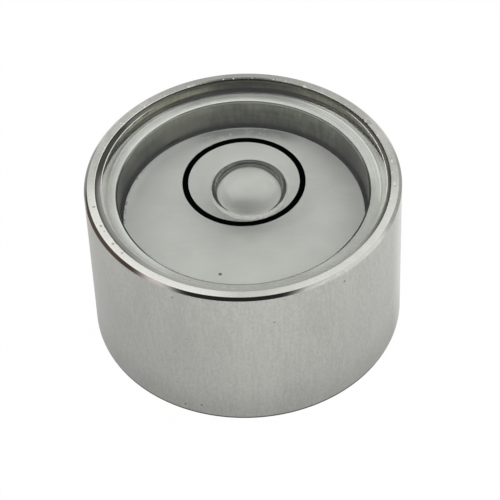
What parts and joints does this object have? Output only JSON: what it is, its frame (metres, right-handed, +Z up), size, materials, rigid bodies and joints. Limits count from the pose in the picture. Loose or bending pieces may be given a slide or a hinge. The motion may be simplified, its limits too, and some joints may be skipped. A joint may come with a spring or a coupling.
{
  "type": "bullseye level",
  "caption": "Round bullseye level: a turned aluminium cup with a bonded glass over spirit, one bubble and a printed target ring.",
  "frame": {"origin": "centre of the flat base, where it rests", "axes": "+Z up along the axis of the cup, out through the glass; +X and +Y lie in the base plane"},
  "size_m": [0.032, 0.032, 0.0182],
  "materials": {
    "case_aluminium": "turned and fine brushed",
    "clear_glass": "polished, fine ground bevel",
    "black_paint": "matt black paint filling a groove",
    "sealant": "olive, see-through, glossy",
    "pale_disc": "satin",
    "spirit": "clear liquid",
    "ball_steel": "polished steel",
    "screw_steel": "plain steel"
  },
  "bodies": {
    "root": {"housing": "case_aluminium", "lens": "clear_glass", "target_ring": "black_paint", "seal_ring": "sealant", "reflector_disc": "pale_disc", "spirit_fill": "spirit", "fill_ball": "ball_steel", "fill_screw": "screw_steel"}
  },
  "joints": []
}
